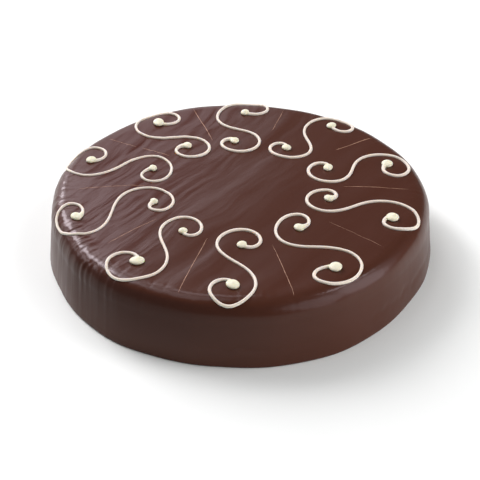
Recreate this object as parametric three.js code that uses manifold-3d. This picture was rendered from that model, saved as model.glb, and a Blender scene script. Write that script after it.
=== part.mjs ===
// A round chocolate-glazed cake with a ring of piped icing scrolls, one scroll on each slice.
// Millimetres, +Z up, the cake's base centred on the origin and standing on z = 0.
import * as THREE from "three";
import Module from "manifold-3d";

// The cake: a low round of one solid, its side leaning in a little to a softly rounded shoulder.
const CAKE_RADIUS = 120.4;
const CAKE_HEIGHT = 42;
const SIDE_LEAN = 2.8;
const SHOULDER_REACH = 12.5;
const SHOULDER_DROP = 15;
// 2 would make the shoulder's side view a quarter of an ellipse; more than that fills its corner out.
const SHOULDER_FULLNESS = 2.4;
const FOOT_ROUNDING = 1.2;
const SHOULDER_FOOT = CAKE_HEIGHT - SHOULDER_DROP;
// The icing may reach this share of the way out over the shoulder, where the glaze turns upright.
const SHOULDER_LIMIT = 0.999;

// The hand-made outline is not a true circle: each wave moves the side in and out this many times a turn.
const OUTLINE_WAVES = [
  { times: 3, size: 0.8, from: 60 },
  { times: 4, size: 0.3, from: 72 },
  { times: 5, size: 0.45, from: 63 },
  { times: 6, size: 0.4, from: -45 },
  { times: 17, size: 0.2, from: 20 },
];

// The icing: a thread that ends in a round drop in each of its two curls.
const THREAD_WIDTH = 2;
const THREAD_HEIGHT = 1.5;
const DROP_RISE = 1.6;
const DROP_RISE_PER_WIDTH = 0.14;
const ICING_GAP = 0.3;

// How finely the faceted solids are divided.
const CAKE_SIDES = 96;
const SIDE_RING_HEIGHTS = [0.04, 0.28, 0.52, 0.76].map((share) => share * SHOULDER_FOOT);
const SHOULDER_STEPS = 8;
const THREAD_STEPS = 54;
const THREAD_SECTION_STEPS = 5;
const DROP_SIDES = 14;
const DROP_STEPS = 4;

// The slices run clockwise from the first one's middle, in degrees from +X.
const SLICES = 10;
const FIRST_SLICE = 125.6;
const SLICE_ANGLE = 360 / SLICES;

// Each thread is divided into nine stretches, in percent of its length, shortest in the curls.
const STRETCHES = [6, 9, 13, 14.5, 15, 14.5, 13, 9, 6];

// The scrolls, each piped by hand. The ends of a thread are [outwards from the cake's middle, sideways
// anticlockwise], in the frame of its slice, and turns are the degrees that it turns in each stretch on its
// way from the inner end to the outer one, left turns positive. drops are the inner and the outer drop, each
// as [how far to the right of its thread's end, how far behind it, width].
const SCROLLS = [
  {
    inner: [63.5, -2.5],
    outer: [99.5, -4.5],
    turns: [115, 77, 108, 90, -73, -97, -51, -139, -54],
    drops: [[1, 0.3, 6], [0, 0, 8]],
  },
  {
    inner: [60.5, 4.5],
    outer: [96.5, -3.5],
    turns: [135, 63, 99, 98, -96, -61, -61, -124, -41],
    drops: [[0.9, -0.7, 6], [-0.5, 0.6, 6]],
  },
  {
    inner: [59, 5.5],
    outer: [100, -2.5],
    turns: [112, 111, 60, 117, -50, -79, -58, -139, -51],
    drops: [[0, 0, 6], [0, 0, 6.5]],
  },
  {
    inner: [61.5, 7],
    outer: [99, 0.5],
    turns: [117, 78, 86, 98, -77, -67, -90, -111, -67],
    drops: [[-0.3, 0.6, 6.5], [0, 0, 7.5]],
  },
  {
    inner: [55.5, 8],
    outer: [97, -0.5],
    turns: [139, 72, 107, 83, -58, -58, -99, -74, -124],
    drops: [[-0.5, -0.5, 6], [0, 0, 8]],
  },
  {
    inner: [54.5, 4.5],
    outer: [98, -3],
    turns: [81, 123, 49, 104, -45, -104, -46, -140, -46],
    drops: [[0, -0.3, 6.5], [0, -0.6, 8]],
  },
  {
    inner: [59.5, 2],
    outer: [98.5, -2.5],
    turns: [103, 87, 89, 94, -39, -78, -107, -82, -106],
    drops: [[-0.3, 0, 6], [-0.6, 0, 8]],
  },
  {
    inner: [56.5, 0],
    outer: [95, -2.5],
    turns: [127, 76, 113, 66, -64, -76, -87, -85, -84],
    drops: [[0.1, -0.3, 5.5], [-0.3, -0.7, 8]],
  },
  {
    inner: [54.5, -2.5],
    outer: [101, -0.5],
    turns: [138, 92, 79, 90, -11, -136, -32, -145, -58],
    drops: [[0.5, 1.1, 5], [-1.6, 0, 7]],
  },
  {
    inner: [59.5, -6.5],
    outer: [99.5, -3],
    turns: [93, 128, 69, 126, -39, -119, -56, -117, -76],
    drops: [[-0.5, 0.3, 5.5], [-1.6, 0.6, 6.5]],
  },
];

const GLAZE_MATERIAL = new THREE.MeshStandardMaterial({ color: 0x5b3c38, roughness: 0.35, metalness: 0 });
const ICING_MATERIAL = new THREE.MeshStandardMaterial({ color: 0xe8dccc, roughness: 0.55, metalness: 0 });

const wasm = await Module();
wasm.setup();

const radians = THREE.MathUtils.degToRad;

// The cake's radius at its foot, in the direction of an angle in radians.
function footRadius(angle) {
  return OUTLINE_WAVES.reduce(
    (radius, { times, size, from }) => radius + size * Math.cos(times * angle - radians(from)),
    CAKE_RADIUS,
  );
}

// The point of the glaze over a place in plan, and the direction that it faces there. across runs over the
// shoulder from 0 on the flat top to 1 at the side, and up from 1 to 0.
function glazeAt(x, y) {
  const topRadius = footRadius(Math.atan2(y, x)) - SIDE_LEAN - SHOULDER_REACH;
  const across = THREE.MathUtils.clamp((Math.hypot(x, y) - topRadius) / SHOULDER_REACH, 0, SHOULDER_LIMIT);
  const up = (1 - across ** SHOULDER_FULLNESS) ** (1 / SHOULDER_FULLNESS);
  const outwards = new THREE.Vector3(x, y, 0).normalize();
  const normal = outwards.multiplyScalar(across ** (SHOULDER_FULLNESS - 1) / SHOULDER_REACH);
  normal.z = up ** (SHOULDER_FULLNESS - 1) / SHOULDER_DROP;
  return { point: new THREE.Vector3(x, y, SHOULDER_FOOT + SHOULDER_DROP * up), normal: normal.normalize() };
}

// A closed body with one skin over a row of equal rings, drawn together to a point at each end.
// Rings run anticlockwise as seen from the last one.
function skinOver(start, rings, end) {
  const sides = rings[0].length;
  const points = [start, ...rings.flat(), end];
  const last = points.length - 1;
  const faces = [];
  const corner = (ring, side) => 1 + ring * sides + (side % sides);
  for (let side = 0; side < sides; side++) {
    faces.push(0, corner(0, side + 1), corner(0, side));
    faces.push(last, corner(rings.length - 1, side), corner(rings.length - 1, side + 1));
    for (let ring = 0; ring + 1 < rings.length; ring++) {
      const near = [corner(ring, side), corner(ring, side + 1)];
      const far = [corner(ring + 1, side), corner(ring + 1, side + 1)];
      faces.push(near[0], near[1], far[1], near[0], far[1], far[0]);
    }
  }
  return new wasm.Manifold(
    new wasm.Mesh({
      numProp: 3,
      vertProperties: new Float32Array(points.flatMap((point) => point.toArray())),
      triVerts: new Uint32Array(faces),
    }),
  );
}

function namedMesh(name, solid, material) {
  const { vertProperties, triVerts } = solid.getMesh();
  const geometry = new THREE.BufferGeometry();
  geometry.setAttribute("position", new THREE.BufferAttribute(vertProperties, 3));
  geometry.setIndex(new THREE.BufferAttribute(triVerts, 1));
  geometry.computeVertexNormals();
  const mesh = new THREE.Mesh(geometry, material);
  mesh.name = name;
  return mesh;
}

// The cake's side view from the foot to the flat top: how far in from the foot's outline, and how high.
function cakeProfile() {
  const leanAt = (height) => (SIDE_LEAN * height) / SHOULDER_FOOT;
  const profile = [{ inset: FOOT_ROUNDING, height: 0 }];
  SIDE_RING_HEIGHTS.forEach((height) => profile.push({ inset: leanAt(height), height }));
  for (let step = 0; step <= SHOULDER_STEPS; step++) {
    const angle = (Math.PI / 2) * (step / SHOULDER_STEPS);
    const across = Math.max(Math.cos(angle), 0) ** (2 / SHOULDER_FULLNESS);
    const up = Math.sin(angle) ** (2 / SHOULDER_FULLNESS);
    const inset = SIDE_LEAN + SHOULDER_REACH * (1 - across);
    profile.push({ inset, height: SHOULDER_FOOT + SHOULDER_DROP * up });
  }
  return profile;
}

function glazedCake() {
  const rings = cakeProfile().map(({ inset, height }) =>
    Array.from({ length: CAKE_SIDES }, (_, side) => {
      const angle = (2 * Math.PI * side) / CAKE_SIDES;
      const radius = footRadius(angle) - inset;
      return new THREE.Vector3(radius * Math.cos(angle), radius * Math.sin(angle), height);
    }),
  );
  return skinOver(new THREE.Vector3(0, 0, 0), rings, new THREE.Vector3(0, 0, CAKE_HEIGHT));
}

// How fast the thread turns, in degrees over its whole length, at a share of its length. The rate runs
// evenly from the middle of one stretch to the middle of the next.
function turningRate(turns, share) {
  const total = STRETCHES.reduce((sum, stretch) => sum + stretch, 0);
  let passed = 0;
  const middles = STRETCHES.map((stretch) => {
    passed += stretch;
    return (passed - stretch / 2) / total;
  });
  const rates = turns.map((turn, index) => (turn * total) / STRETCHES[index]);
  const next = middles.findIndex((middle) => middle > share);
  if (next <= 0) return next === 0 ? rates[0] : rates[rates.length - 1];
  const between = (share - middles[next - 1]) / (middles[next] - middles[next - 1]);
  return THREE.MathUtils.lerp(rates[next - 1], rates[next], between);
}

// The thread's middle line in plan, laid out by its turns and then swung and scaled on to its two ends.
function threadLine({ inner, outer, turns }) {
  const laid = [new THREE.Vector2()];
  let heading = 0;
  for (let step = 0; step < THREAD_STEPS; step++) {
    const turn = radians(turningRate(turns, (step + 0.5) / THREAD_STEPS)) / THREAD_STEPS;
    const onward = heading + turn / 2;
    laid.push(laid[step].clone().add(new THREE.Vector2(Math.cos(onward), Math.sin(onward))));
    heading += turn;
  }
  const from = new THREE.Vector2(inner[0], inner[1]);
  const reach = new THREE.Vector2(outer[0], outer[1]).sub(from);
  const laidReach = laid[THREAD_STEPS];
  const scale = reach.length() / laidReach.length();
  const swing = reach.angle() - laidReach.angle();
  const origin = new THREE.Vector2();
  return laid.map((point) => point.clone().rotateAround(origin, swing).multiplyScalar(scale).add(from));
}

// A half-round thread along a line in plan, laid on the glaze.
function icingThread(line) {
  const places = line.map((point) => glazeAt(point.x, point.y));
  const rings = places.map(({ point, normal }, index) => {
    const before = places[Math.max(index - 1, 0)].point;
    const after = places[Math.min(index + 1, places.length - 1)].point;
    const onward = after.clone().sub(before).normalize();
    const sideways = normal.clone().cross(onward).normalize();
    return Array.from({ length: THREAD_SECTION_STEPS + 1 }, (_, step) => {
      const angle = (Math.PI * step) / THREAD_SECTION_STEPS;
      const rise = ICING_GAP + THREAD_HEIGHT * Math.sin(angle);
      return point
        .clone()
        .addScaledVector(sideways, (THREAD_WIDTH / 2) * Math.cos(angle))
        .addScaledVector(normal, rise);
    });
  });
  const middleOf = (ring) =>
    ring.reduce((sum, point) => sum.add(point), new THREE.Vector3()).divideScalar(ring.length);
  return skinOver(middleOf(rings[0]), rings, middleOf(rings[rings.length - 1]));
}

// A round drop of icing, flat underneath, standing on the glaze.
function icingDrop(place, width) {
  const { point, normal } = glazeAt(place.x, place.y);
  const rise = DROP_RISE + DROP_RISE_PER_WIDTH * width;
  const stand = new THREE.Quaternion().setFromUnitVectors(new THREE.Vector3(0, 0, 1), normal);
  const placed = (x, y, z) => new THREE.Vector3(x, y, z + ICING_GAP).applyQuaternion(stand).add(point);
  const rings = Array.from({ length: DROP_STEPS }, (_, step) => {
    const lift = (Math.PI / 2) * (step / DROP_STEPS);
    const radius = (width / 2) * Math.cos(lift);
    return Array.from({ length: DROP_SIDES }, (_, side) => {
      const angle = (2 * Math.PI * side) / DROP_SIDES;
      return placed(radius * Math.cos(angle), radius * Math.sin(angle), rise * Math.sin(lift));
    });
  });
  return skinOver(placed(0, 0, 0), rings, placed(0, 0, rise));
}

// One scroll: the thread and the drops at its two ends, joined, on the slice with this middle angle.
function icingScroll(scroll, sliceMiddle) {
  const origin = new THREE.Vector2();
  const line = threadLine(scroll).map((point) => point.rotateAround(origin, radians(sliceMiddle)));
  const ends = [line[0], line[line.length - 1]];
  const drops = scroll.drops.map(([right, behind, width], index) =>
    icingDrop(ends[index].clone().add(new THREE.Vector2(right, behind)), width),
  );
  return drops.reduce((joined, drop) => joined.add(drop), icingThread(line));
}

const cake = new THREE.Group();
cake.name = "chocolate_glazed_cake";
cake.add(namedMesh("glazed_cake", glazedCake(), GLAZE_MATERIAL));
SCROLLS.forEach((scroll, index) => {
  const name = `scroll_${String(index + 1).padStart(2, "0")}`;
  const solid = icingScroll(scroll, FIRST_SLICE - index * SLICE_ANGLE);
  cake.add(namedMesh(name, solid, ICING_MATERIAL));
});

export default cake;
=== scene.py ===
"""The looks of a round chocolate-glazed cake with ten piped icing scrolls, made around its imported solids.

Lengths in the named values are millimetres and angles degrees, as in the part's source. MM turns a length
into Blender's metres.
"""

import math

import bpy
import numpy as np
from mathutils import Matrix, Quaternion, Vector


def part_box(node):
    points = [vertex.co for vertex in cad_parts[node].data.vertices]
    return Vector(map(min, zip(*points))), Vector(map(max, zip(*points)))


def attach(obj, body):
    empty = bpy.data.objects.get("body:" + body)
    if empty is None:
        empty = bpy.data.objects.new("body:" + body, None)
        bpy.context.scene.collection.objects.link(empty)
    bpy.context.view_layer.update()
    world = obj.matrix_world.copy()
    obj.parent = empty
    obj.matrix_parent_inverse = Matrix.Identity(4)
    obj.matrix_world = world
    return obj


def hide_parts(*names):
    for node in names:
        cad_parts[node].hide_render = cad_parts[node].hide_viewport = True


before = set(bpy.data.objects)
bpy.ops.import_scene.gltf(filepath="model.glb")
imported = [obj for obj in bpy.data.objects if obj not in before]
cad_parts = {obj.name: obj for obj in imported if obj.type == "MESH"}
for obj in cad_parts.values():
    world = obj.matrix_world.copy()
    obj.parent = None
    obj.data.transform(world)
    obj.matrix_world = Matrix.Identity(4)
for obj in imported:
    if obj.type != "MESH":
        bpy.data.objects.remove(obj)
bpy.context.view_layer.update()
MM = 0.001

# The cake's form, the same as its solid's.
CAKE_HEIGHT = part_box("glazed_cake")[1].z / MM
CAKE_RADIUS = 120.4
SIDE_LEAN = 2.8
SHOULDER_REACH = 12.5
SHOULDER_DROP = 15
SHOULDER_FULLNESS = 2.4
FOOT_ROUNDING = 1.2
SHOULDER_FOOT = CAKE_HEIGHT - SHOULDER_DROP
SHOULDER_ARC = 22.5
# Times round the outline, size, and the direction of the first crest.
OUTLINE_WAVES = [(3, 0.8, 60), (4, 0.3, 72), (5, 0.45, 63), (6, 0.4, -45), (17, 0.2, 20)]

# The glaze's mesh: sides round its shoulder, and rows on the top, the shoulder, the side and the foot.
# The side has half as many sides, and the top a half, a quarter and an eighth towards its middle.
SIDES = 1440
TOP_ROWS = 72
SHOULDER_ROWS = 27
SIDE_ROWS = 20
FOOT_ROWS = 4

# The icing: thread and drops, how deep they sit in the glaze, and the voxels that fuse them.
THREAD_WIDTH = 2.1
THREAD_HEIGHT = 2.1
THREAD_SINK = 0.75
THREAD_WAIST = 0.86
TAIL_LENGTH = 4
THREAD_STEPS = 260
THREAD_SIDES = 14
DROP_RISE = 1.6
DROP_RISE_PER_WIDTH = 0.14
DROP_SIDES = 36
DROP_RINGS = 17
ICING_VOXEL = 0.21

# The ten slices run clockwise from the first one's middle.
FIRST_SLICE = 125.6
SLICE_ANGLE = 36
STRETCHES = [6, 9, 13, 14.5, 15, 14.5, 13, 9, 6]

# The scrolls, as in the part's source: a thread's inner and outer end as outwards and sideways in the
# frame of the slice, and the degrees that it turns in each of its stretches. The turns weren't chosen by
# hand: a scratch program fitted them to the photograph's icing, in whole degrees.
SCROLLS = [
    ((63.5, -2.5), (99.5, -4.5), (115, 77, 108, 90, -73, -97, -51, -139, -54)),
    ((60.5, 4.5), (96.5, -3.5), (135, 63, 99, 98, -96, -61, -61, -124, -41)),
    ((59, 5.5), (100, -2.5), (112, 111, 60, 117, -50, -79, -58, -139, -51)),
    ((61.5, 7), (99, 0.5), (117, 78, 86, 98, -77, -67, -90, -111, -67)),
    ((55.5, 8), (97, -0.5), (139, 72, 107, 83, -58, -58, -99, -74, -124)),
    ((54.5, 4.5), (98, -3), (81, 123, 49, 104, -45, -104, -46, -140, -46)),
    ((59.5, 2), (98.5, -2.5), (103, 87, 89, 94, -39, -78, -107, -82, -106)),
    ((56.5, 0), (95, -2.5), (127, 76, 113, 66, -64, -76, -87, -85, -84)),
    ((54.5, -2.5), (101, -0.5), (138, 92, 79, 90, -11, -136, -32, -145, -58)),
    ((59.5, -6.5), (99.5, -3), (93, 128, 69, 126, -39, -119, -56, -117, -76)),
]

# Each scroll's inner and outer drop: how far it lies to the right of its thread's end and behind it, its
# width, and how much the thread thickens towards it.
DROPS = [
    ((1, 0.3, 6, 1), (0, 0, 8, 0.2)),
    ((0.9, -0.7, 6, 0.9), (-0.5, 0.6, 6, 0.2)),
    ((0, 0, 6, 0.3), (0, 0, 6.5, 0.3)),
    ((-0.3, 0.6, 6.5, 0.4), (0, 0, 7.5, 0.6)),
    ((-0.5, -0.5, 6, 1), (0, 0, 8, 0.7)),
    ((0, -0.3, 6.5, 1), (0, -0.6, 8, 0.3)),
    ((-0.3, 0, 6, 0.4), (-0.6, 0, 8, 0.2)),
    ((0.1, -0.3, 5.5, 0.3), (-0.3, -0.7, 8, 0.3)),
    ((0.5, 1.1, 5, 1), (-1.6, 0, 7, 0.8)),
    ((-0.5, 0.3, 5.5, 1), (-1.6, 0.6, 6.5, 0.3)),
]
# How thick each scroll's thread is.
THREAD_SCALES = [1, 1.03, 1.03, 1.03, 1.03, 1, 1, 0.94, 0.9, 0.88]

# The knife's score lines between the slices: each one's strokes, as radius and direction of their points.
SCORES = [
    [[(64, 106), (108, 107)]],
    [[(77, 73.5), (105.5, 73.5)]],
    [[(79.5, 38), (108.5, 36.5)]],
    [[(65, 4), (105, 1)]],
    [[(63.5, -33), (103.5, -36)]],
    [[(61.5, -72), (90, -73.5), (102.5, -73.8), (111, -74.2)]],
    [[(55, -110), (110, -108)]],
    [[(58.5, -147.5), (95.5, -143.5)]],
    [[(58.5, 174), (100.5, 179)]],
    [[(61.5, 137.5), (81.5, 141)], [(85.5, 142), (107, 143.7)]],
]
# How wide each score line is, and how far it is kept off the glaze.
SCORE_WIDTHS = [0.36, 0.24, 0.46, 0.3, 0.13, 0.3, 0.33, 0.32, 0.24, 0.26]
SCORE_LIFT = 0.01
SCORE_STEPS = 60
# A score line's section: shares of its width, and how far the glaze is pushed up there.
SCORE_SECTION = [(-0.5, 0.0), (-0.3, 0.06), (0.0, 0.02), (0.3, 0.06), (0.5, 0.0)]

# The glaze's relief: the direction of the palette knife's streaks, the middle of the rippled part of the
# rim, how far round it the shoulder's ribs and the side's flutes reach, and how high each form stands.
STREAK_DIRECTION = 51
RIPPLE_MIDDLE = 204
RIB_SPREAD = 20
FLUTE_SPREAD = 42
RIB_HEIGHT = 0.34
FLUTE_HEIGHT = 0.3
SWELL_HEIGHT = 0.3
# A shallow crease round the side: how far past the flat top's edge it runs, its width, and its depth.
CREASE_PLACE = 37
CREASE_WIDTH = 2.5
CREASE_DEPTH = 0.3
# How much the glaze's coat shines, how much where it is dull below the shoulder, and where that is. There the
# glaze's colour is also darkened as painted shade.
GLAZE_GLOSS = 0.36
DULL_GLOSS = 0.08
DULL_SHADE_MIDDLE = 236
DULL_SHADE_SPREAD = 48

# The soft lights, as seen from the cake: direction round it and height angle, how many degrees wide and
# tall, how far turned, and how bright. A brightness of 1 is that of a white surface. The brightnesses
# began as a scratch program's fit to the photograph and were then rounded or changed by hand.
LIGHT_DISTANCE = 1700
LIGHT_TINT = (1.05, 0.95, 1.02)
LIGHTS = {
    "softbox_back": (98, 20, (21, 30), 0, 1.2),
    "softbox_back_middle": (106, 40, (10, 20), 0, 3.5),
    "softbox_back_high": (100, 60, (10, 14), 0, 3.4),
    "softbox_low": (127, 10, (38, 14), 0, 1.7),
    "softbox_high": (141, 53, (33, 26), 0, 1.4),
    "softbox_above": (170, 76, (34, 20), 0, 1.7),
    "softbox_left": (162, 27, (20, 20), 0, 4.1),
    "strip_left": (134, 38, (14, 40), -29, 11),
    "strip_left_wide": (132, 41, (30, 50), -29, 2.7),
    "strip_right": (0, 53, (6, 26), 49, 8),
    "softbox_right": (-10, 24, (27, 44), 0, 2.7),
    "softbox_right_wide": (-12, 28, (52, 64), 0, 0.7),
    "softbox_right_front": (-46, 24, (34, 48), 0, 2),
}
WORLD_GLOW = 0.13
FLOOR_SIZE = 6000

# The camera: its distance and height angle from the cake's foot, the point it looks at, and its lens.
CAMERA_DISTANCE = 850
CAMERA_ELEVATION = 35
CAMERA_TARGET = (0.3, 0, 4.7)
CAMERA_LENS = 100
CAMERA_SENSOR = 36


# ---------------------------------------------------------------- noise and small helpers


def smoothstep(low, high, value):
    share = np.clip((value - low) / (high - low), 0, 1)
    return share * share * (3 - 2 * share)


def lattice_noise(u, v, seed, period=64):
    """Smooth noise between -1 and 1, which repeats along u after a whole number of cells."""
    lattice = np.random.default_rng(seed).uniform(-1, 1, (max(period, 64), 64))
    u, v = np.broadcast_arrays(u, v)
    u0, v0 = np.floor(u).astype(int), np.floor(v).astype(int)
    fu, fv = u - u0, v - v0
    fu, fv = fu**3 * (fu * (6 * fu - 15) + 10), fv**3 * (fv * (6 * fv - 15) + 10)

    def corner(i, j):
        return lattice[(u0 + i) % period, (v0 + j) % 64]

    near = corner(0, 0) * (1 - fu) + corner(1, 0) * fu
    far = corner(0, 1) * (1 - fu) + corner(1, 1) * fu
    return near * (1 - fv) + far * fv


def turned(points, degrees):
    angle = math.radians(degrees)
    turn = np.array([[math.cos(angle), math.sin(angle)], [-math.sin(angle), math.cos(angle)]])
    return np.asarray(points) @ turn


def normalized(vectors):
    return vectors / np.linalg.norm(vectors, axis=-1, keepdims=True)


def joined(parts):
    """The points and faces of several meshes as one."""
    points, faces = np.empty((0, 3)), []
    for more, more_faces in parts:
        faces += [[corner + len(points) for corner in face] for face in more_faces]
        points = np.concatenate([points, more])
    return points, faces


def mesh_object(name, points, faces, material):
    """A smooth-shaded mesh from points in millimetres."""
    mesh = bpy.data.meshes.new(name)
    mesh.from_pydata((np.asarray(points) * MM).tolist(), [], faces)
    mesh.polygons.foreach_set("use_smooth", [True] * len(mesh.polygons))
    mesh.materials.append(material)
    mesh.update()
    made = bpy.data.objects.new(name, mesh)
    bpy.context.scene.collection.objects.link(made)
    return made


# ---------------------------------------------------------------- the glaze's surface


def foot_radius(angle):
    """The cake's radius at its foot, in the direction of angles in radians."""
    radius = CAKE_RADIUS + 0 * angle
    for times, size, crest in OUTLINE_WAVES:
        radius = radius + size * np.cos(times * angle - math.radians(crest))
    return radius


def top_radius(angle):
    return foot_radius(angle) - SIDE_LEAN - SHOULDER_REACH


def facing(angle, middle, spread):
    """How nearly angles in radians face a direction: 1 there, fading over the spread, both in degrees."""
    apart = (np.degrees(angle) - middle + 180) % 360 - 180
    return np.exp(-((apart / spread) ** 2))


def streak_frame(x, y):
    """Places across and along the palette knife's streaks, which wander and steepen towards the back."""
    slant = math.radians(STREAK_DIRECTION)
    sway = y / math.tan(slant) - 0.0028 * np.clip(y - 20, 0, None) ** 2
    across = (x - sway) * math.sin(slant)
    across = across + 3 * lattice_noise(x / 30, y / 30, 13) + 1.1 * lattice_noise(x / 11, y / 11, 14)
    return across, x * math.cos(slant) + y * math.sin(slant)


def streaks(x, y):
    """The palette knife's slanting streaks on the top, strongest at the left and back."""
    across, along = streak_frame(x, y)
    broad = lattice_noise(across / 12, along / 70, 10)
    wide = lattice_noise(across / 5.5, along / 40, 11)
    crease = 1 - 2 * np.abs(lattice_noise(across / 4.5, along / 30, 15))
    narrow = lattice_noise(across / 2.6, along / 20, 12)
    left = smoothstep(5, -75, x - 0.3 * y) * np.clip(1 + y / 110, 0.6, 1.6)
    return (
        (0.26 - 0.06 * left) * broad
        + (0.04 + 0.12 * left) * wide
        + (0.02 + 0.08 * left) * crease
        + (0.01 + 0.1 * left) * narrow
    )


def round_noise(angle, along, width, length, seed):
    """Noise in cells of a width round the cake and a length down its side."""
    cells = round(2 * math.pi * CAKE_RADIUS / width)
    return lattice_noise(angle / (2 * math.pi) * cells, along / length, seed, cells)


def relief(angle, along):
    """How far the glaze stands proud, at a distance past the flat top's edge. Noise cells are millimetres."""
    radius = top_radius(angle) + along
    x, y = radius * np.cos(angle), radius * np.sin(angle)
    ragged = along + 2 * round_noise(angle, 0 * along, 5, 60, 26)
    on_rim = smoothstep(-6, 1, along) * smoothstep(12, 8, along)
    on_side = smoothstep(7.5, 12, ragged) * (0.3 + 0.7 * smoothstep(34, 12, along))
    rib = round_noise(angle, along, 2.3, 16, 23) + 0.7 * round_noise(angle, along, 3.4, 5, 27)
    flute = round_noise(angle, along, 2.7, 70, 21) + 0.7 * round_noise(angle, along, 5, 90, 22)
    crease = np.exp(-(((ragged - CREASE_PLACE) / CREASE_WIDTH) ** 2))
    crease = crease * smoothstep(-0.4, 0.3, round_noise(angle, 0 * along, 40, 60, 29))
    ribbed = 0.1 + 0.9 * facing(angle, RIPPLE_MIDDLE, RIB_SPREAD)
    fluted = 0.1 + 0.9 * facing(angle, RIPPLE_MIDDLE, FLUTE_SPREAD)
    return (
        streaks(x, y) * smoothstep(8, -3, along)
        + SWELL_HEIGHT * lattice_noise(x / 38, y / 38, 24) * smoothstep(25, 0, along)
        + ribbed * on_rim * RIB_HEIGHT * rib
        + fluted * on_side * FLUTE_HEIGHT * flute
        + SWELL_HEIGHT * round_noise(angle, along, 40, 18, 25) * smoothstep(8, 16, along)
        - CREASE_DEPTH * crease
    )


def glaze_at(angle, along):
    """Points of the glaze and the plain form's normals, at distances past the flat top's edge."""
    angle, along = np.broadcast_arrays(np.asarray(angle, float), np.asarray(along, float))
    bend = np.clip(along / SHOULDER_ARC, 0, 1) * math.pi / 2
    across = np.sin(bend) ** (2 / SHOULDER_FULLNESS)
    up = np.clip(np.cos(bend), 0, 1) ** (2 / SHOULDER_FULLNESS)
    down = np.clip(along - SHOULDER_ARC, 0, None)
    lean = math.atan2(SIDE_LEAN, SHOULDER_FOOT)
    radius = top_radius(angle) + np.minimum(along, 0) + SHOULDER_REACH * across + down * math.sin(lean)
    height = SHOULDER_FOOT + SHOULDER_DROP * up - down * math.cos(lean)
    outward = np.where(down > 0, math.cos(lean), across ** (SHOULDER_FULLNESS - 1) / SHOULDER_REACH)
    upward = np.where(down > 0, math.sin(lean), up ** (SHOULDER_FULLNESS - 1) / SHOULDER_DROP)
    normal = normalized(np.stack([outward * np.cos(angle), outward * np.sin(angle), upward], -1))
    point = np.stack([radius * np.cos(angle), radius * np.sin(angle), height], -1)
    return point + normal * relief(angle, along)[..., None], normal


def glaze_over(x, y):
    """Points of the glaze and normals over places in plan, on the top and the shoulder."""
    angle = np.arctan2(y, x)
    past = np.hypot(x, y) - top_radius(angle)
    bend = np.arcsin(np.clip(past / SHOULDER_REACH, 0, 0.999) ** (SHOULDER_FULLNESS / 2))
    return glaze_at(angle, np.where(past < 0, past, bend / (math.pi / 2) * SHOULDER_ARC))


def directions(sides):
    return np.arange(sides) * 2 * math.pi / sides


def glaze_rows():
    """The rows of the glaze's mesh, from the top's middle to the foot: angles, and how far past its edge."""
    rows = []
    for row in range(1, TOP_ROWS):
        share = row / TOP_ROWS
        angle = directions(SIDES // (8 if share < 0.25 else 4 if share < 0.5 else 2))
        rows.append((angle, -top_radius(angle) * (1 - share)))
    rows += [(directions(SIDES), SHOULDER_ARC * row / SHOULDER_ROWS) for row in range(SHOULDER_ROWS)]
    side_length = math.hypot(SIDE_LEAN, SHOULDER_FOOT) - FOOT_ROUNDING
    for row in range(SIDE_ROWS + 1):
        rows.append((directions(SIDES // 2), SHOULDER_ARC + side_length * row / SIDE_ROWS))
    return [np.broadcast_arrays(angle, along) for angle, along in rows]


def foot_rings(angle, edge):
    """The rings that round the glaze in under its foot, on from the side's last ring."""
    outward = np.stack([np.cos(angle), np.sin(angle), 0 * angle], -1)
    rings = []
    for row in range(1, FOOT_ROWS + 1):
        turn = math.pi / 2 * row / FOOT_ROWS
        ring = edge - outward * FOOT_ROUNDING * (1 - math.cos(turn)) * 0.8
        ring[:, 2] = edge[:, 2] * (1 - math.sin(turn))
        rings.append(ring)
    return rings


def band(inner, inner_count, outer, outer_count):
    """Faces between two rings, of which one may have twice as many sides as the other."""
    faces = []
    for side in range(min(inner_count, outer_count)):
        near = [inner + place % inner_count for place in (side, side + 1)]
        far = [outer + place % outer_count for place in (side, side + 1)]
        if inner_count < outer_count:
            far = [outer + place % outer_count for place in (2 * side, 2 * side + 1, 2 * side + 2)]
            faces += [(near[0], far[0], far[1]), (near[0], far[1], near[1]), (near[1], far[1], far[2])]
        elif inner_count > outer_count:
            near = [inner + place % inner_count for place in (2 * side, 2 * side + 1, 2 * side + 2)]
            faces += [(near[0], far[0], near[1]), (near[1], far[0], far[1]), (near[1], far[1], near[2])]
        else:
            faces.append((near[0], far[0], far[1], near[1]))
    return faces


def store(piece, name, values):
    """Stores a vector at each point of a piece, for its material."""
    attribute = piece.data.attributes.new(name, "FLOAT_VECTOR", "POINT")
    attribute.data.foreach_set("vector", np.asarray(values, np.float32).ravel())


def store_flow(piece, angle, along):
    """Stores what the glaze's material reads.

    streak: where a point lies across and along the knife's streaks. rim: where it lies round the rim and
    down it. zone: how much it belongs to the side; to the side's dull part, which is also darkened as
    painted shade; and to the streaked part, which also gets a purplish tint as painted sheen.
    """
    radius = top_radius(angle) + along
    x, y = radius * np.cos(angle), radius * np.sin(angle)
    store(piece, "streak", np.stack([*streak_frame(x, y), 0 * x], -1))
    store(piece, "rim", np.stack([CAKE_RADIUS * np.cos(angle), CAKE_RADIUS * np.sin(angle), along], -1))
    # The streaked part, most at the left of the top: it gets stronger streak relief and a purplish tint as
    # painted sheen.
    drawn = (0.15 + 0.85 * smoothstep(0, -80, x - 0.35 * y)) * (1 - 0.6 * smoothstep(-2, 5, along))
    # The side's dull part below the shoulder, towards the front left: it loses gloss and is also darkened as
    # painted shade.
    dull_and_shade = smoothstep(7.5, 11.5, along) * smoothstep(60, 18, along)
    dull_and_shade = dull_and_shade * facing(angle, DULL_SHADE_MIDDLE, DULL_SHADE_SPREAD)
    store(piece, "zone", np.stack([smoothstep(4, 14, along), dull_and_shade, drawn], -1))


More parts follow.
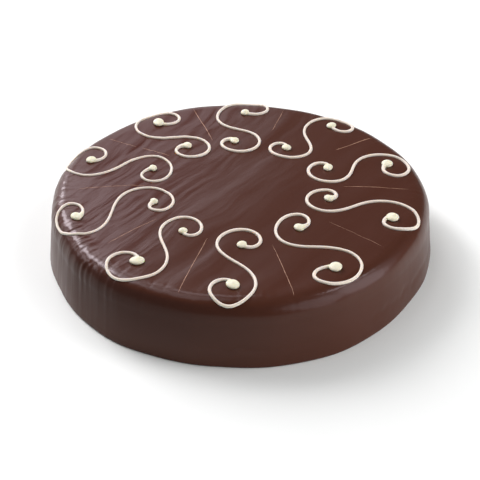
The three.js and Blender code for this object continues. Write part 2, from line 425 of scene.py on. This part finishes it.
def build_glaze(material):
    rows = glaze_rows()
    rings = [glaze_at(angle, along)[0] for angle, along in rows]
    angle, along = rows[-1]
    rings += foot_rings(angle, rings[-1])
    rows += [(angle, along)] * FOOT_ROWS
    counts = [len(ring) for ring in rings]
    starts = np.concatenate([[1], 1 + np.cumsum(counts)]).tolist()
    points = np.concatenate([rings[0].mean(0)[None], *rings, [[0, 0, 0]]])
    faces = [(0, 1 + side, 1 + (side + 1) % counts[0]) for side in range(counts[0])]
    for row in range(len(rings) - 1):
        faces += band(starts[row], counts[row], starts[row + 1], counts[row + 1])
    foot, last = starts[-2], starts[-1]
    faces += [(last, foot + (side + 1) % counts[-1], foot + side) for side in range(counts[-1])]
    piece = mesh_object("glaze", points, faces, material)
    angle = np.concatenate([[0], *[row[0] for row in rows], [0]])
    along = np.concatenate([[-CAKE_RADIUS], *[row[1] for row in rows], [rows[-1][1][0]]])
    store_flow(piece, angle, along)
    return piece


# ---------------------------------------------------------------- the icing


def thread_line(inner, outer, turns):
    """The thread's middle line in the slice's frame, laid out by its turns on to its two ends."""
    edges = np.concatenate([[0], np.cumsum(STRETCHES)]) / sum(STRETCHES)
    share = (np.arange(THREAD_STEPS) + 0.5) / THREAD_STEPS
    rate = np.interp(share, (edges[1:] + edges[:-1]) / 2, np.array(turns) / np.diff(edges))
    turn = np.radians(rate) / THREAD_STEPS
    heading = np.cumsum(turn) - turn / 2
    laid = np.concatenate([[0], np.cumsum(np.exp(1j * heading))])
    start, end = complex(*inner), complex(*outer)
    line = start + laid * (end - start) / laid[-1]
    return np.stack([line.real, line.imag], -1)


def tube(centres, sideways, normals, widths, heights):
    """Points and faces of an oval tube, closed at both ends."""
    angle = np.arange(THREAD_SIDES) * 2 * math.pi / THREAD_SIDES
    rings = (
        centres[:, None]
        + sideways[:, None] * (np.cos(angle)[None, :, None] * widths[:, None, None] / 2)
        + normals[:, None] * (np.sin(angle)[None, :, None] * heights[:, None, None] / 2)
    )
    faces = [list(range(THREAD_SIDES))[::-1]]
    for ring in range(len(centres) - 1):
        near, far = ring * THREAD_SIDES, (ring + 1) * THREAD_SIDES
        for side in range(THREAD_SIDES):
            onward = (side + 1) % THREAD_SIDES
            faces.append((near + side, near + onward, far + onward, far + side))
    end = (len(centres) - 1) * THREAD_SIDES
    faces.append([end + side for side in range(THREAD_SIDES)])
    return rings.reshape(-1, 3), faces


def thread(line, index):
    """The thread: thinner in its middle, where the hand moved fastest, and thicker towards its drops."""
    point, normal = glaze_over(line[:, 0], line[:, 1])
    onward = normalized(np.gradient(point, axis=0))
    sideways = normalized(np.cross(normal, onward))
    share = np.linspace(0, 1, len(line))
    length = np.linalg.norm(np.diff(point, axis=0), axis=1).sum()
    thickness = THREAD_SCALES[index] * (1 - (1 - THREAD_WAIST) * np.sin(math.pi * share) ** 2)
    for (_, _, width, tail), away in zip(DROPS[index], (share, 1 - share)):
        full = 0.7 * width / THREAD_WIDTH - 1
        thickness = thickness + tail * full * np.exp(-((away * length / TAIL_LENGTH) ** 2))
    step = np.arange(len(line))
    thickness = thickness + 0.05 * lattice_noise(step / 14, 0 * step, 100 + index)
    thickness = thickness + 0.03 * lattice_noise(step / 5, 0 * step, 150 + index)
    height = THREAD_HEIGHT * np.sqrt(thickness)
    centre = point + normal * (height / 2 - THREAD_SINK)[:, None]
    return tube(centre, sideways, normal, THREAD_WIDTH * thickness, height)


def drop_form(width, rise, seed):
    """Where a drop's points lie in plan, and how high: its rings downwards, then its top and its foot."""
    draw = np.random.default_rng(seed)
    stretch, swing = draw.uniform(1.0, 1.12), draw.uniform(0, math.pi)
    tip = draw.uniform(-0.12, 0.12, 2) * width
    polar = np.linspace(0, math.pi, DROP_RINGS + 2)[1:-1, None]
    turn = (np.arange(DROP_SIDES) * 2 * math.pi / DROP_SIDES)[None]
    x = np.sin(polar) * np.cos(turn) * width / 2 * stretch
    y = np.sin(polar) * np.sin(turn) * width / 2 / stretch
    z = np.cos(polar) * rise * 0.62 + rise * 0.36 + 0 * turn
    x = np.append(x.ravel(), [0, 0])
    y = np.append(y.ravel(), [0, 0])
    z = np.append(z.ravel(), [rise * 0.98, -rise * 0.26])
    z = z + 0.4 * np.exp(-((x - tip[0]) ** 2 + (y - tip[1]) ** 2) / 1.1) * (z > 0)
    return turned(np.stack([x, y], -1), math.degrees(swing)), z


def drop_faces():
    top, bottom = DROP_RINGS * DROP_SIDES, DROP_RINGS * DROP_SIDES + 1
    last = (DROP_RINGS - 1) * DROP_SIDES
    faces = []
    for side in range(DROP_SIDES):
        onward = (side + 1) % DROP_SIDES
        faces.append((top, side, onward))
        faces.append((bottom, last + onward, last + side))
        for row in range(DROP_RINGS - 1):
            near, far = row * DROP_SIDES, (row + 1) * DROP_SIDES
            faces.append((near + side, far + side, far + onward, near + onward))
    return faces


def drop(place, width, seed):
    """Points and faces of a drop: a low round blob with a small tip where the nozzle lifted."""
    point, normal = glaze_over(np.array([place[0]]), np.array([place[1]]))
    point, normal = point[0], normal[0]
    flat, height = drop_form(width, DROP_RISE + DROP_RISE_PER_WIDTH * width, seed)
    sideways = np.array([normal[2], 0, -normal[0]])
    sideways = sideways / np.linalg.norm(sideways)
    other = np.cross(normal, sideways)
    points = point + flat[:, :1] * sideways + flat[:, 1:] * other + height[:, None] * normal
    return points, drop_faces()


def fused(piece):
    """The piece with its overlapping bodies melted into one smooth skin."""
    remesh = piece.modifiers.new("fuse", "REMESH")
    remesh.mode = "VOXEL"
    remesh.voxel_size = ICING_VOXEL * MM
    remesh.use_smooth_shade = True
    smooth = piece.modifiers.new("soften", "SMOOTH")
    smooth.iterations = 6
    smooth.factor = 0.5
    view = bpy.context.evaluated_depsgraph_get()
    melted = bpy.data.meshes.new_from_object(piece.evaluated_get(view))
    piece.modifiers.clear()
    piece.data = melted
    return piece


def mark_drops(piece, places):
    """Stores how much each point belongs to a drop, for the icing's colour."""
    points = np.zeros(len(piece.data.vertices) * 3)
    piece.data.vertices.foreach_get("co", points)
    points = points.reshape(-1, 3) / MM
    weight = np.zeros(len(points))
    for (x, y), width in places:
        apart = np.hypot(points[:, 0] - x, points[:, 1] - y)
        weight = np.maximum(weight, smoothstep(width * 0.75, width * 0.4, apart))
    attribute = piece.data.attributes.new("drop", "FLOAT", "POINT")
    attribute.data.foreach_set("value", weight.astype(np.float32))


def build_scroll(index, material):
    line = turned(thread_line(*SCROLLS[index]), FIRST_SLICE - index * SLICE_ANGLE)
    ends = zip((line[0], line[-1]), DROPS[index])
    places = [(end + np.array([right, behind]), width) for end, (right, behind, width, _) in ends]
    parts = [thread(line, index)]
    for number, (place, width) in enumerate(places):
        parts.append(drop(place, width, 200 + 2 * index + number))
    points, faces = joined(parts)
    piece = fused(mesh_object(f"icing_{index + 1:02d}", points, faces, material))
    mark_drops(piece, places)
    return piece


# ---------------------------------------------------------------- the score lines


def stroke(points, full_width, seed):
    """Points and faces of a shallow scratch with a raised burr on each side, following the glaze."""
    polar = np.array(points, float)
    steps = np.linspace(0, len(points) - 1, SCORE_STEPS)
    radius = np.interp(steps, np.arange(len(points)), polar[:, 0])
    angle = np.radians(np.interp(steps, np.arange(len(points)), polar[:, 1]))
    middle = np.stack([radius * np.cos(angle), radius * np.sin(angle)], -1)
    onward = normalized(middle[-1] - middle[0])
    sideways = np.array([-onward[1], onward[0]])
    share = np.linspace(0, 1, SCORE_STEPS)
    wander = 0.16 * lattice_noise(share * 5, 0 * share, seed)
    wander = wander + 0.06 * lattice_noise(share * 22, 0 * share, seed + 20)
    middle = middle + sideways * wander[:, None]
    taper = np.sqrt(np.clip(np.minimum(share, 1 - share) * 8, 0.02, 1))
    width = full_width * taper * (1 + 0.3 * lattice_noise(share * 12, 0 * share, seed + 40))
    columns = []
    for across, lift in SCORE_SECTION:
        place = middle + sideways * (across * width)[:, None]
        point, normal = glaze_over(place[:, 0], place[:, 1])
        columns.append(point + normal * (SCORE_LIFT + lift * taper)[:, None])
    count = len(SCORE_SECTION)
    faces = [
        (row * count + col, row * count + col + 1, (row + 1) * count + col + 1, (row + 1) * count + col)
        for row in range(SCORE_STEPS - 1)
        for col in range(count - 1)
    ]
    return np.stack(columns, 1).reshape(-1, 3), faces


def build_score(index, material):
    strokes = []
    for number, line in enumerate(SCORES[index]):
        strokes.append(stroke(line, SCORE_WIDTHS[index], 300 + index + 10 * number))
    points, faces = joined(strokes)
    return mesh_object(f"score_{index + 1:02d}", points, faces, material)


# ---------------------------------------------------------------- materials


class Shader:
    """A small builder for one node material."""

    def __init__(self, name):
        self.material = bpy.data.materials.new(name)
        self.material.use_nodes = True
        self.tree = self.material.node_tree
        self.surface = self.tree.nodes["Principled BSDF"]

    def node(self, kind, inputs=None, **settings):
        made = self.tree.nodes.new(kind)
        for key, value in settings.items():
            setattr(made, key, value)
        for key, value in (inputs or {}).items():
            self.put(made.inputs[key], value)
        return made

    def put(self, socket, value):
        if isinstance(value, bpy.types.NodeSocket):
            self.tree.links.new(value, socket)
        else:
            socket.default_value = value

    def set(self, **values):
        for key, value in values.items():
            self.put(self.surface.inputs[key.replace("_", " ")], value)

    def where(self):
        return self.node("ShaderNodeTexCoord").outputs["Object"]

    def stored(self, name):
        return self.node("ShaderNodeAttribute", attribute_name=name).outputs["Vector"]

    def placed(self, where, stretch):
        """Coordinates drawn out along each axis."""
        inputs = {"Vector": where, "Scale": stretch}
        return self.node("ShaderNodeMapping", inputs, vector_type="TEXTURE").outputs["Vector"]

    def noise(self, where, scale, detail=2, roughness=0.5):
        inputs = {"Vector": where, "Scale": scale, "Detail": detail, "Roughness": roughness}
        return self.node("ShaderNodeTexNoise", inputs).outputs["Fac"]

    def spread(self, value, low, high, to_low=0.0, to_high=1.0):
        names = ("From Min", "From Max", "To Min", "To Max")
        inputs = dict(zip(names, (low, high, to_low, to_high)), Value=value)
        return self.node("ShaderNodeMapRange", inputs).outputs["Result"]

    def mix(self, share, first, second):
        made = self.node("ShaderNodeMix", data_type="RGBA")
        self.put(made.inputs[0], share)
        self.put(made.inputs[6], first)
        self.put(made.inputs[7], second)
        return made.outputs[2]

    def bump(self, height, distance, strength=1.0, onto=None):
        inputs = {"Height": height, "Distance": distance, "Strength": strength}
        if onto is not None:
            inputs["Normal"] = onto
        return self.node("ShaderNodeBump", inputs).outputs["Normal"]


# The glaze's browns: two that mingle, one in the streaks' hollows, a purplish one painted on the streaked
# part as painted sheen, that of the side, and a darker one painted on the side's dull part as painted shade.
GLAZE_BROWNS = (0.061, 0.0202, 0.0104, 1), (0.058, 0.0192, 0.0098, 1)
HOLLOW_BROWN = (0.063, 0.0215, 0.0115, 1)
PAINTED_SHEEN_BROWN = (0.063, 0.0178, 0.0112, 1)
SIDE_BROWN = (0.069, 0.0198, 0.0086, 1)
PAINTED_SHADE_BROWN = (0.048, 0.0185, 0.0125, 1)
# The two colours that mingle in the icing's threads, in its drops, in the score lines and on the floor.
# The lights' tint turns the floor's neutral.
THREAD_WHITES = (0.74, 0.71, 0.595, 1), (0.78, 0.75, 0.635, 1)
DROP_IVORIES = (0.755, 0.78, 0.575, 1), (0.8, 0.825, 0.63, 1)
SCORE_BROWNS = (0.26, 0.14, 0.08, 1), (0.46, 0.28, 0.175, 1)
FLOOR_WHITES = (0.87, 0.96, 0.895, 1), (0.89, 0.98, 0.915, 1)


# The scale of a noise is per millimetre in stored places, and per metre in the object's own.


def glaze_material():
    shader = Shader("chocolate_glaze")
    zone = shader.node("ShaderNodeSeparateXYZ", {"Vector": shader.stored("zone")}).outputs
    streak = shader.noise(shader.placed(shader.stored("streak"), (1, 14, 1)), 0.42, detail=3)
    flute = shader.noise(shader.placed(shader.stored("rim"), (1, 1, 9)), 0.36, detail=3)
    cloud = shader.noise(shader.where(), 16, detail=2)
    grain = shader.noise(shader.where(), 1500, detail=2)
    drawn = shader.spread(zone["X"], 0, 1, streak, flute)
    brown = shader.mix(shader.spread(cloud, 0.35, 0.65), *GLAZE_BROWNS)
    brown = shader.mix(shader.spread(drawn, 0.35, 0.7), brown, HOLLOW_BROWN)
    # Purplish brown on the streaked left of the top: a painted sheen tint.
    brown = shader.mix(zone["Z"], brown, PAINTED_SHEEN_BROWN)
    brown = shader.mix(zone["X"], brown, SIDE_BROWN)
    # Darker brown on the side's dull part below the shoulder: painted shade.
    colour = shader.mix(zone["Y"], brown, PAINTED_SHADE_BROWN)
    height = shader.spread(zone["Z"], 0, 1, 0.5, drawn)
    relief = shader.bump(height, 0.17 * MM, onto=shader.bump(grain, 0.02 * MM))
    shader.set(
        Base_Color=colour,
        Roughness=shader.spread(drawn, 0.3, 0.7, 0.36, 0.42),
        Normal=relief,
        IOR=1.46,
        Specular_IOR_Level=0.07,
        Coat_Weight=shader.spread(zone["Y"], 0, 1, GLAZE_GLOSS, DULL_GLOSS),
        Coat_Roughness=0.185,
        Coat_IOR=1.6,
        Coat_Normal=relief,
    )
    return shader.material


def icing_material():
    shader = Shader("icing")
    share = shader.node("ShaderNodeAttribute", attribute_name="drop").outputs["Fac"]
    mottle = shader.noise(shader.where(), 420, detail=2)
    thread_white = shader.mix(shader.spread(mottle, 0.3, 0.7), *THREAD_WHITES)
    drop_ivory = shader.mix(shader.spread(mottle, 0.3, 0.7), *DROP_IVORIES)
    shader.set(
        Base_Color=shader.mix(share, thread_white, drop_ivory),
        Roughness=0.5,
        Normal=shader.bump(mottle, 0.05 * MM),
        IOR=1.45,
        Subsurface_Weight=0.7,
        Subsurface_Radius=(1, 0.9, 0.75),
        Subsurface_Scale=0.9 * MM,
    )
    return shader.material


def score_material():
    shader = Shader("score_line")
    fleck = shader.noise(shader.where(), 380, detail=2)
    shader.set(
        Base_Color=shader.mix(shader.spread(fleck, 0.35, 0.65), *SCORE_BROWNS),
        Roughness=0.6,
    )
    return shader.material


def floor_material():
    shader = Shader("pale_floor")
    cloud = shader.noise(shader.where(), 3)
    shader.set(
        Base_Color=shader.mix(cloud, *FLOOR_WHITES),
        Roughness=0.7,
    )
    return shader.material


# ---------------------------------------------------------------- stage, lights and camera


def build_floor():
    half = FLOOR_SIZE / 2
    corners = [(-half, -half, 0), (half, -half, 0), (half, half, 0), (-half, half, 0)]
    return mesh_object("floor", corners, [(0, 1, 2, 3)], floor_material())


def around_cake(azimuth, elevation, distance):
    """A place in metres, seen from the cake: azimuth anticlockwise from +X, as in plan."""
    azimuth, elevation = math.radians(azimuth), math.radians(elevation)
    flat = math.cos(elevation)
    towards = Vector((flat * math.cos(azimuth), flat * math.sin(azimuth), math.sin(elevation)))
    return distance * MM * towards


def softbox(name, azimuth, elevation, spread, roll, glow):
    """A soft light that faces the cake, turned by its roll, and looks so many degrees wide and tall."""
    light = bpy.data.lights.new(name, "AREA")
    light.shape = "ELLIPSE"
    reach = 2 * LIGHT_DISTANCE * MM
    light.size, light.size_y = (reach * math.tan(math.radians(side / 2)) for side in spread)
    # The power at which an elliptical light's own face is as bright as its glow.
    light.energy = glow * (math.pi / 2) ** 2 * light.size * light.size_y
    light.color = LIGHT_TINT
    made = bpy.data.objects.new(name, light)
    made.location = around_cake(azimuth, elevation, LIGHT_DISTANCE)
    towards_cake = (-made.location).to_track_quat("-Z", "Y")
    made.rotation_euler = (towards_cake @ Quaternion((0, 0, 1), math.radians(roll))).to_euler()
    bpy.context.scene.collection.objects.link(made)


def build_lights():
    for name, (azimuth, elevation, spread, roll, glow) in LIGHTS.items():
        softbox(name, azimuth, elevation, spread, roll, glow)
    world = bpy.data.worlds.new("studio")
    world.use_nodes = True
    world.node_tree.nodes["Background"].inputs["Color"].default_value = (1, 1, 1, 1)
    world.node_tree.nodes["Background"].inputs["Strength"].default_value = WORLD_GLOW
    bpy.context.scene.world = world


def build_camera():
    camera = bpy.data.cameras.new("camera")
    camera.lens, camera.sensor_width = CAMERA_LENS, CAMERA_SENSOR
    camera.clip_end = 20
    made = bpy.data.objects.new("camera", camera)
    made.location = around_cake(-90, CAMERA_ELEVATION, CAMERA_DISTANCE)
    towards = Vector(CAMERA_TARGET) * MM - made.location
    made.rotation_euler = towards.to_track_quat("-Z", "Y").to_euler()
    bpy.context.scene.collection.objects.link(made)
    bpy.context.scene.camera = made


# ---------------------------------------------------------------- the scene

glaze = build_glaze(glaze_material())
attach(glaze, "root")
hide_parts("glazed_cake")

icing_look = icing_material()
for number in range(len(SCROLLS)):
    scroll = build_scroll(number, icing_look)
    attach(scroll, "root")
    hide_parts(f"scroll_{number + 1:02d}")

score_look = score_material()
for number in range(len(SCORES)):
    score = build_score(number, score_look)
    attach(score, "root")

build_floor()
build_lights()
build_camera()
bpy.context.scene.view_settings.view_transform = "Standard"
